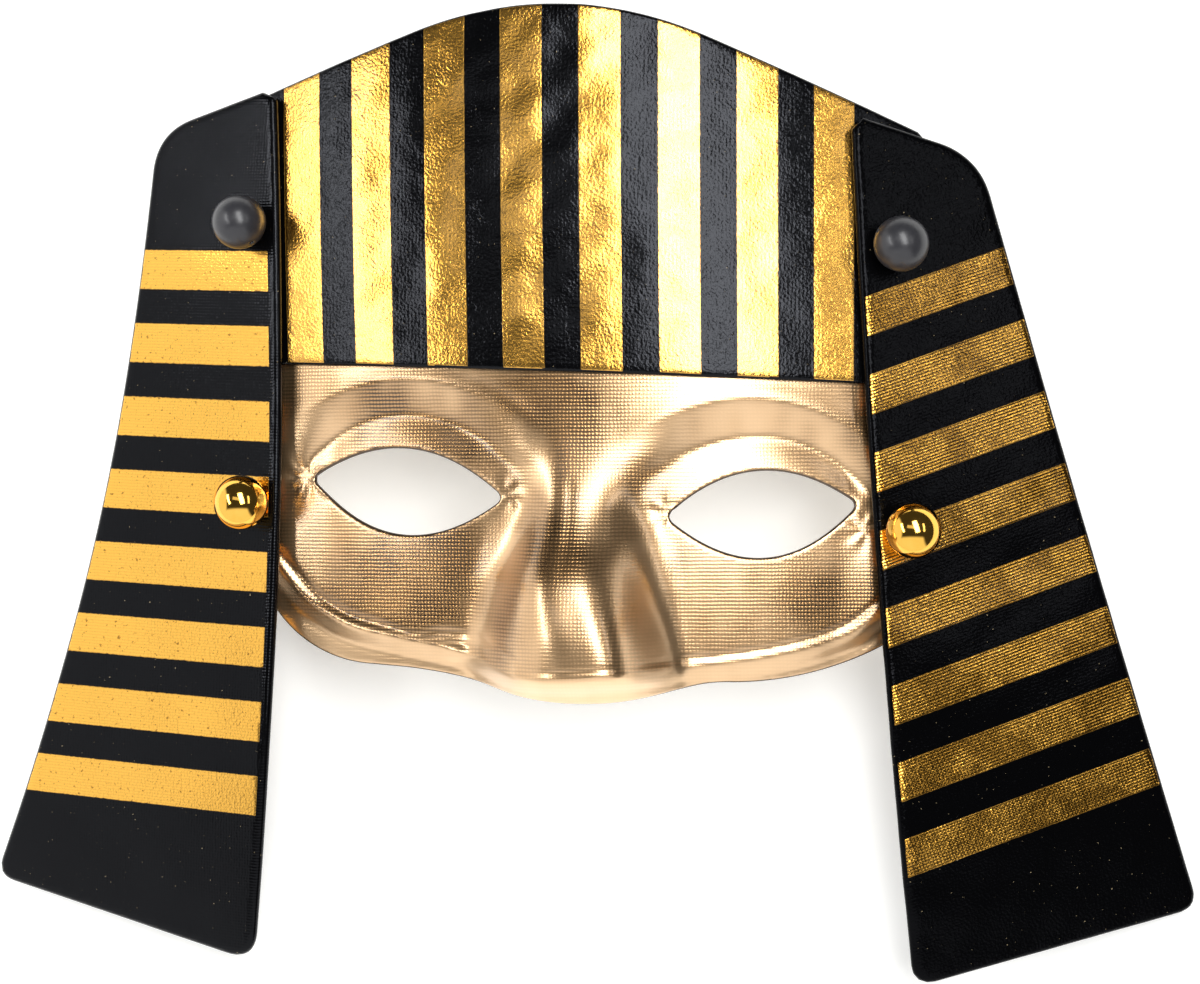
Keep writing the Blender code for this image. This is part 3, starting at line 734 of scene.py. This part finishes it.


# Gold lame: a fine polyester knit with metal foil bonded to it, stretched over the moulded shell.
# To the eye: a soft metallic gloss under clear film. Where the knit is slack each stitch is a small pillow
# with darker thread between, and where it is pulled tight the foil is smooth and paler. The darker colour
# is partly
# painted shade: the slack patches lie where the face is in shade and dark reflection, and the hollows are
# darkened too.
lame = {
    "foil": linear("F6CD9C"), "foilSlackAndShade": linear("C59863"), "threadAndShade": linear("38260F"),
    "cutEdgeAndShade": linear("4A3620"),
    "gloss": {"Metallic": 0.94, "Coat Weight": 1.0, "Coat Roughness": 0.22, "Coat IOR": 1.6},
    "roughness": 0.27, "tightRoughness": 0.31, "ribPitch": 0.95, "stitchPitch": 0.95,
    "pillow": 0.05, "stitchShare": 0.55, "tightShare": 0.22,  # relief in mm, and shares of it
    "glintScale": 1500.0, "glintShare": 0.45, "patchScale": 60.0,
    # ramps: start and end, then the values there
    "hollowsAndShade": (0.62, 0.1, 0.0, 0.95), "patches": (0.38, 0.58, 0.5, 1.0), "slackShade": (0.0, 0.8, 1.0, 0.06),
    "cut": (0.3, 0.05),
}


def lameMaterial():
    material, tree, shader = newMaterial("gold lame knit", lame["gloss"])
    cloth, tight = flatCloth(tree), pointValue(tree, "tight")
    # each stitch is a pillow with a glint of its own, and both flatten where the knit is tight
    ribs, stitches = clothRelief(tree, cloth, lame["ribPitch"], lame["stitchPitch"], "Y")
    pillow = combine(tree, "MULTIPLY_ADD", stitches, lame["stitchShare"], 1 - lame["stitchShare"])
    knit = combine(tree, "MULTIPLY", ribs, pillow)
    glint = noise(tree, cloth, lame["glintScale"], 2.0)
    grainy = combine(tree, "MULTIPLY_ADD", glint, lame["glintShare"], knit)
    height = combine(tree, "MULTIPLY", grainy, ramp(tree, tight, low=1.0, high=lame["tightShare"]))
    # dark colour in the hollows between stitches, in patches and mostly where the knit is slack: partly
    # dark thread, partly painted shade in the hollows and the slack patches
    hollowsAndShade = ramp(tree, knit, *lame["hollowsAndShade"])
    patches = ramp(tree, noise(tree, cloth, lame["patchScale"], 4.0), *lame["patches"])
    shown = combine(tree, "MULTIPLY", hollowsAndShade, patches)
    threadsAndShade = combine(tree, "MULTIPLY", shown, ramp(tree, tight, *lame["slackShade"]))
    tone = blend(tree, tight, lame["foilSlackAndShade"], lame["foil"])
    knitted = blend(tree, threadsAndShade, tone, lame["threadAndShade"])
    # the cut edges and eye holes turn dark brown: partly the raw cut edge, partly painted shade along the
    # edge
    cut = ramp(tree, pointValue(tree, "margin"), *lame["cut"])
    feed(tree, shader, {
        "Base Color": blend(tree, cut, knitted, lame["cutEdgeAndShade"]),
        "Roughness": ramp(tree, tight, low=lame["roughness"], high=lame["tightRoughness"]),
        "Normal": bump(tree, height, lame["pillow"]),
    })
    return material


# Striped cloth: black coated knit with stripes of hot-pressed gold foil.
# To the eye: the foil stands a hair above the cloth and is close to a mirror, broken by stitches, specks
# and soft dents. The black has a low plastic sheen with lint and foil dust on it.
foilCloth = {
    "gold": linear("FFC254"), "goldWornAndShaded": linear("8C6322"),
    "black": linear("050506"), "dust": linear("A89878"), "sheenTint": linear("F0F4FF"),
    "coatRoughness": 0.2, "coatIndex": 1.8,
    # a stripe's edge is soft over this share of the pitch, and shaken by a fine noise; the foil's step; and
    # the black band along the cloth's edges, painted shade on the turned edge, and its fade
    "edgeShare": 0.012, "edgeShake": 0.016, "foilStep": 1.2, "plainShadedEdge": 0.35, "plainFade": 0.15,
    "speckScale": 900.0, "grainScale": 1300.0,
    # ramps: start and end, then the values there
    "dusty": (0.735, 0.76, 0.0, 0.8), "hollow": (0.7, 0.1), "dentShade": (0.57, 0.43), "rubbed": (0.08, 0.8),
}


def foilMask(tree, cloth, share):
    # 1 on the foil and 0 on the black between. The foil starts a little inside the cloth's edge, leaving a
    # black band there as painted shade along the turned edge; on the left lappet's inner side it also stops
    # short as on the real cloth
    shake = noise(tree, cloth, foilCloth["speckScale"], 1.0)
    shaken = combine(tree, "MULTIPLY_ADD", shake, foilCloth["edgeShake"], pointValue(tree, "stripe"))
    across = combine(tree, "FRACT", shaken)
    edge, plain = foilCloth["edgeShare"], foilCloth["plainShadedEdge"]
    opens, closes = ramp(tree, across, 0.0, edge), ramp(tree, across, share + edge, share)
    reached = ramp(tree, pointValue(tree, "inset"), plain, plain + foilCloth["plainFade"])
    return combine(tree, "MULTIPLY", combine(tree, "MULTIPLY", opens, closes), reached)


def stripedMaterial(name, look):
    material, tree, shader = newMaterial(name, {
        "Specular IOR Level": look["sheen"], "Specular Tint": foilCloth["sheenTint"],
        "Coat Roughness": foilCloth["coatRoughness"], "Coat IOR": foilCloth["coatIndex"],
    })
    cloth = flatCloth(tree)
    foil = foilMask(tree, cloth, look["share"])
    # relief: the knit, more or less of it on the foil, then fine grain, soft dents and the foil's step
    ribs, stitches = clothRelief(
        tree, cloth, look["ribPitch"], look["stitchPitch"], look["ribAxis"], look["slant"]
    )
    pillow = combine(tree, "MULTIPLY_ADD", ribs, stitches, ribs)
    knit = ramp(tree, foil, low=look["blackKnit"], high=look["foilKnit"])
    height = combine(tree, "MULTIPLY", pillow, knit)
    grain = noise(tree, cloth, foilCloth["grainScale"], 2.0)
    buckle = noise(tree, cloth, look["buckleScale"], 4.0, 0.6)
    for part, amount in ((grain, look["grain"]), (buckle, look["buckle"]), (foil, foilCloth["foilStep"])):
        height = combine(tree, "MULTIPLY_ADD", part, amount, height)
    # the gold is darkened in random rubbed specks (wear), between the stitches (partly dark thread, partly
    # painted shade in the hollows) and in the dents (painted shade)
    rubWidth, rubMost = foilCloth["rubbed"]
    specks = noise(tree, cloth, foilCloth["speckScale"], 3.0)
    rubbed = ramp(tree, specks, look["rubFrom"], look["rubFrom"] + rubWidth, 0.0, rubMost)
    hollowsAndShade = ramp(tree, pillow, *foilCloth["hollow"], 0.0, look["hollowsAndShade"])
    dentShade = ramp(tree, buckle, *foilCloth["dentShade"], 0.0, look["dentShadeShare"])
    dulledAndShaded = combine(tree, "MAXIMUM", combine(tree, "MAXIMUM", rubbed, hollowsAndShade), dentShade)
    gold = blend(tree, dulledAndShaded, foilCloth["gold"], foilCloth["goldWornAndShaded"])
    dark = blend(tree, ramp(tree, grain, *foilCloth["dusty"]), foilCloth["black"], foilCloth["dust"])
    feed(tree, shader, {
        "Base Color": blend(tree, foil, dark, gold),
        "Metallic": foil,
        "Coat Weight": ramp(tree, foil, low=0.0, high=look["film"]),
        "Roughness": ramp(tree, foil, low=look["blackRoughness"], high=look["goldRoughness"]),
        "Normal": bump(tree, height, look["ribDepth"]),
    })
    return material


# share is the gold's share of the pitch, pitches and ribDepth are in mm, and grain, buckle and the two
# knits are parts of the relief. The gold's darkening between stitches is partly painted shade, and in the
# dents it is painted shade
stripedLooks = {
    "panel": {
        "share": panel["gold"] / panel["meanPitch"],
        "ribPitch": 1.0, "stitchPitch": 0.9, "ribAxis": "X", "slant": 0.0, "ribDepth": 0.014,
        "blackKnit": 0.35, "foilKnit": 0.15, "grain": 8.0, "buckle": 14.0, "buckleScale": 130.0,
        "rubFrom": 0.64, "hollowsAndShade": 0.3, "dentShadeShare": 0.35,
        "sheen": 0.2, "film": 0.4, "blackRoughness": 0.16, "goldRoughness": 0.22,
    },
    "left": {
        "share": lappets["stripes"]["left"][2] / lappets["stripes"]["left"][1],
        "ribPitch": 0.8, "stitchPitch": 0.8, "ribAxis": "Y", "slant": 0.05, "ribDepth": 0.01,
        "blackKnit": 1.6, "foilKnit": 0.4, "grain": 4.0, "buckle": 3.0, "buckleScale": 60.0,
        "rubFrom": 0.62, "hollowsAndShade": 0.15, "dentShadeShare": 0.0,
        "sheen": 0.16, "film": 0.1, "blackRoughness": 0.13, "goldRoughness": 0.15,
    },
    "right": {
        "share": lappets["stripes"]["right"][2] / lappets["stripes"]["right"][1],
        "ribPitch": 0.8, "stitchPitch": 0.9, "ribAxis": "Y", "slant": -0.35, "ribDepth": 0.03,
        "blackKnit": 0.2, "foilKnit": 1.0, "grain": 3.0, "buckle": 5.0, "buckleScale": 80.0,
        "rubFrom": 0.6, "hollowsAndShade": 0.9, "dentShadeShare": 0.75,
        "sheen": 0.06, "film": 0.1, "blackRoughness": 0.12, "goldRoughness": 0.15,
    },
}


# Vacuum-moulded PVC, seen from the inside of the mask: off-white, faintly glossy, a little uneven
mouldedPlastic = {
    "dark": linear("CFC8BA"), "pale": linear("E2DDD2"), "cloudScale": 60.0, "grainScale": 1500.0,
    "gloss": {"Specular IOR Level": 0.45}, "roughness": (0.42, 0.6), "relief": 0.02,
}


def mouldedMaterial():
    material, tree, shader = newMaterial("moulded pvc", mouldedPlastic["gloss"])
    place = inSpace(tree)
    cloud = noise(tree, place, mouldedPlastic["cloudScale"], 4.0)
    grain = noise(tree, place, mouldedPlastic["grainScale"], 2.0)
    feed(tree, shader, {
        "Base Color": blend(tree, cloud, mouldedPlastic["dark"], mouldedPlastic["pale"]),
        "Roughness": ramp(tree, cloud, 0.0, 1.0, *mouldedPlastic["roughness"]),
        "Normal": bump(tree, grain, mouldedPlastic["relief"]),
    })
    return material


# Needle felt, the backing of the panel and the lappets: matt black, fibres lying every way
needleFelt = {
    "dark": linear("121212"), "pale": linear("303030"), "fibreScale": 700.0, "relief": 0.15,
    "gloss": {"Roughness": 0.95, "Specular IOR Level": 0.2, "Sheen Weight": 0.3},
}


def feltMaterial():
    material, tree, shader = newMaterial("black needle felt", needleFelt["gloss"])
    fibres = noise(tree, inSpace(tree), needleFelt["fibreScale"], 5.0, 1.5)
    feed(tree, shader, {
        "Base Color": blend(tree, fibres, needleFelt["dark"], needleFelt["pale"]),
        "Normal": bump(tree, fibres, needleFelt["relief"]),
    })
    return material


# Pearl-lacquered plastic bead: dark grey, a satin gloss with a soft bright core under clear lacquer
pearlLacquer = {
    "dark": linear("26262A"), "pale": linear("343438"), "cloudScale": 220.0,
    "gloss": {"Roughness": 0.34, "Coat Weight": 0.15, "Coat Roughness": 0.15, "IOR": 1.5},
}


def pearlMaterial():
    material, tree, shader = newMaterial("grey pearl lacquer", pearlLacquer["gloss"])
    cloud = noise(tree, inSpace(tree), pearlLacquer["cloudScale"], 3.0)
    feed(tree, shader, {"Base Color": blend(tree, cloud, pearlLacquer["dark"], pearlLacquer["pale"])})
    return material


# Vacuum-plated plastic bead: a warm gold mirror, with the faint unevenness of its lacquer
plating = {
    "deep": linear("F2B84A"), "pale": linear("FFCB62"), "cloudScale": 350.0,
    "gloss": {"Metallic": 1.0}, "roughness": (0.06, 0.12),
}


def platedMaterial():
    material, tree, shader = newMaterial("gold vacuum plating", plating["gloss"])
    cloud = noise(tree, inSpace(tree), plating["cloudScale"], 3.0)
    feed(tree, shader, {
        "Base Color": blend(tree, cloud, plating["deep"], plating["pale"]),
        "Roughness": ramp(tree, cloud, 0.0, 1.0, *plating["roughness"]),
    })
    return material


def dress(piece, node, materials):
    for material in materials:
        piece.data.materials.append(material)
    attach(piece, "root")
    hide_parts(node)


mould, felt, pearl, plated = mouldedMaterial(), feltMaterial(), pearlMaterial(), platedMaterial()
dress(makeHalfMask(), "face_mask", [lameMaterial(), mould])
dress(
    makeForeheadPanel(), "forehead_panel",
    [stripedMaterial("foil-striped forehead knit", stripedLooks["panel"]), felt],
)
for side in sides:
    cloth = stripedMaterial("foil-striped " + side + " lappet knit", stripedLooks[side])
    dress(makeLappet(side), side + "_lappet", [cloth, felt])
for node in ("left_upper_bead", "right_upper_bead"):
    dress(makeBead(node), node, [pearl])
for node in ("left_lower_bead", "right_lower_bead"):
    dress(makeBead(node), node, [plated])
print("pieces dressed")


# Pale floor, studio light and camera
studio = {
    "floorSize": 6.0, "floorColour": linear("F4F4F2"), "floorGlow": 0.35,
    # the surroundings: radiance of their white and dark parts, and where by direction the white begins and
    # is full: in front, short of the right, and on the left
    "bright": 1.12, "dark": 0.05,
    "frontWall": (-0.32, -0.52), "frontEnd": (0.72, 0.56), "leftWall": (-0.7, -0.8),
    # name, then degrees off the vertical to the right and up, degrees wide and high, roll, metres away,
    # radiance
    "lights": [
        ("right softbox", 13, 18, 18, 48, 16, 2.5, 9.5),
        ("right strip", 45, 17, 7, 30, 0, 2.6, 2.6),
        ("left softbox", -43.5, 15, 8, 36, 27, 1.3, 9.0),
        ("ceiling bounce", -7, 16, 34, 12, -8, 2.0, 0.9),
    ],
    "lens": 85.5, "sensor": 36.0, "cameraPlace": (0.0856, 0.00085, 0.7759), "cameraLean": radians(6),
}


def makeFloor():
    bpy.ops.mesh.primitive_plane_add(size=studio["floorSize"])
    floor = bpy.context.object
    floor.name = "pale_floor"
    material = newMaterial("pale matt floor", {
        "Base Color": studio["floorColour"], "Roughness": 0.9, "Specular IOR Level": 0.1,
        "Emission Color": studio["floorColour"], "Emission Strength": studio["floorGlow"],
    })[0]
    floor.data.materials.append(material)


def makeLights():
    # Each light faces the mask, with its sides along the mask's own unless it is rolled
    for name, right, up, wide, high, roll, away, radiance in studio["lights"]:
        light = bpy.data.lights.new(name, "AREA")
        light.shape = "RECTANGLE"
        light.size, light.size_y = (2 * away * tan(radians(part) / 2) for part in (wide, high))
        light.energy = radiance * pi * light.size * light.size_y
        aim = Vector((tan(radians(right)), tan(radians(up)), 1)).normalized()
        across = Vector((0, 1, 0)).cross(aim).normalized()
        lamp = bpy.data.objects.new(name, light)
        facing = Matrix((across, aim.cross(across), aim)).transposed()
        facing = facing @ Matrix.Rotation(radians(roll), 3, "Z")
        lamp.matrix_world = Matrix.Translation(aim * away) @ facing.to_4x4()
        bpy.context.scene.collection.objects.link(lamp)


def makeSurroundings():
    # White walls in front and on the left, and a dark room above, behind and to the right. The camera
    # sees white all round
    world = bpy.data.worlds.new("studio")
    bpy.context.scene.world = world
    world.use_nodes = True
    tree = world.node_tree
    background = tree.nodes["Background"]
    background.inputs["Color"].default_value = (1, 1, 1, 1)
    direction = addNode(tree, "ShaderNodeTexCoord", {})["Generated"]
    parts = addNode(tree, "ShaderNodeSeparateXYZ", {0: direction})

    def wall(part, start, full):
        values = {"interpolation_type": "SMOOTHSTEP", 0: part, 1: start, 2: full}
        return addNode(tree, "ShaderNodeMapRange", values)[0]

    front = combine(
        tree, "MULTIPLY", wall(parts[1], *studio["frontWall"]), wall(parts[0], *studio["frontEnd"])
    )
    white = combine(tree, "MAXIMUM", front, wall(parts[0], *studio["leftWall"]))
    seen = addNode(tree, "ShaderNodeLightPath", {})["Is Camera Ray"]
    lit = combine(tree, "MAXIMUM", white, seen)
    level = ramp(tree, lit, low=studio["dark"], high=studio["bright"])
    tree.links.new(level, background.inputs["Strength"])


def makeCamera():
    lens = bpy.data.cameras.new("camera")
    lens.lens, lens.sensor_width = studio["lens"], studio["sensor"]
    camera = bpy.data.objects.new("camera", lens)
    camera.location = studio["cameraPlace"]
    camera.rotation_euler = (0, studio["cameraLean"], 0)
    bpy.context.scene.collection.objects.link(camera)
    bpy.context.scene.camera = camera


makeFloor()
makeLights()
makeSurroundings()
makeCamera()
bpy.context.scene.view_settings.view_transform = "Standard"
print("studio ready")
